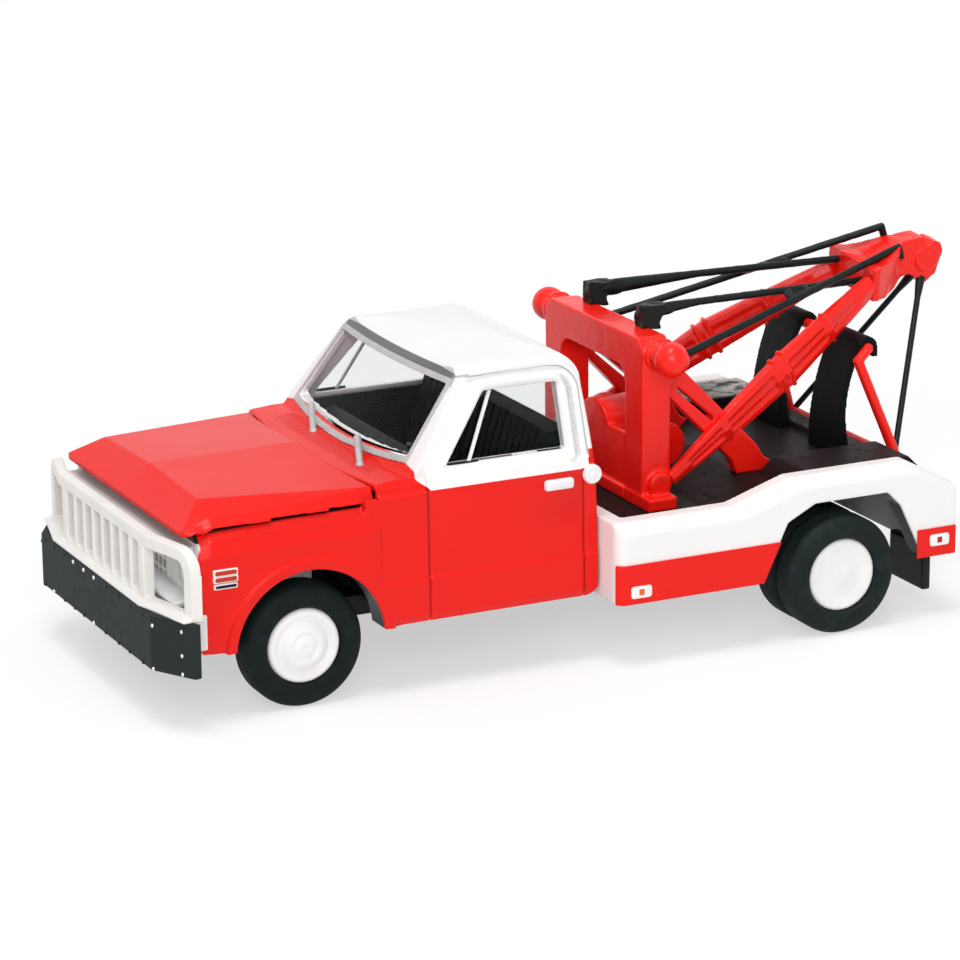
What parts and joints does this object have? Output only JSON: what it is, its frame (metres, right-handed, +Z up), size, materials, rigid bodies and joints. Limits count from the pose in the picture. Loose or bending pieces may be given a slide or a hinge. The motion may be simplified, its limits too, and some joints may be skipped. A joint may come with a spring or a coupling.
{
  "type": "die-cast scale-model tow truck",
  "caption": "Die-cast scale-model tow truck with opening hood, rolling dual-rear wheels, service bed, mast, booms and tow sling.",
  "frame": {"origin": "on the ground under the middle of the whole model", "axes": "+X towards the front of the truck, +Y to its left, +Z up"},
  "size_m": [0.0886, 0.0388, 0.0335],
  "materials": {
    "red_enamel": "gloss",
    "white_enamel": "gloss",
    "silver_paint": "satin",
    "clear_plastic": "clear",
    "black_plastic": "satin",
    "red_plastic": "gloss",
    "white_plastic": "gloss",
    "lamp_red": "gloss",
    "tyre_rubber": "matte",
    "axle_steel": "plain"
  },
  "bodies": {
    "truck": {"body_casting": "red_enamel", "windshield": "clear_plastic", "windshield_trim": "silver_paint", "wiper_stubs": "silver_paint", "side_windows": "clear_plastic", "vent_bars": "silver_paint", "rear_window": "clear_plastic", "seat": "black_plastic", "dashboard": "black_plastic", "steering_wheel": "black_plastic", "engine": "black_plastic", "grille_backing": "black_plastic", "grille": "silver_paint", "headlights": "white_plastic", "front_bumper": "white_plastic", "push_pad": "black_plastic", "brush_guard": "white_plastic", "door_handles": "silver_paint", "fuel_fillers": "silver_paint", "fender_badges": "silver_paint", "chassis": "black_plastic", "bed": "white_enamel", "deck": "black_plastic", "skirt_panels": "red_enamel", "mud_flaps": "black_plastic", "marker_lamps": "white_plastic", "tail_lamps": "lamp_red", "mast": "red_plastic", "winch": "red_plastic", "mast_braces": "red_plastic", "boom_left": "red_plastic", "boom_right": "red_plastic", "boom_head": "red_plastic", "stay_left": "black_plastic", "stay_right": "black_plastic", "hoist_cables": "black_plastic", "sling_frame": "red_plastic", "sling_belts": "black_plastic"},
    "front_wheelset": {"front_axle": "axle_steel", "front_tyres": "tyre_rubber", "front_discs": "white_plastic"},
    "rear_wheelset": {"rear_axle": "axle_steel", "rear_tyres": "tyre_rubber", "rear_discs": "white_plastic"},
    "hood": {"hood": "red_enamel"}
  },
  "joints": [
    {"name": "front_wheels_roll", "type": "hinge", "parent": "truck", "child": "front_wheelset", "pos_m": [0.0301, 0, 0.0057], "axis": [0, 1, 0], "continuous": true},
    {"name": "rear_wheels_roll", "type": "hinge", "parent": "truck", "child": "rear_wheelset", "pos_m": [-0.0227, 0, 0.0057], "axis": [0, 1, 0], "continuous": true},
    {"name": "hood_hinge", "type": "hinge", "parent": "truck", "child": "hood", "pos_m": [0.023, 0, 0.0199], "axis": [0, -1, 0], "range_deg": [0, 60]}
  ]
}
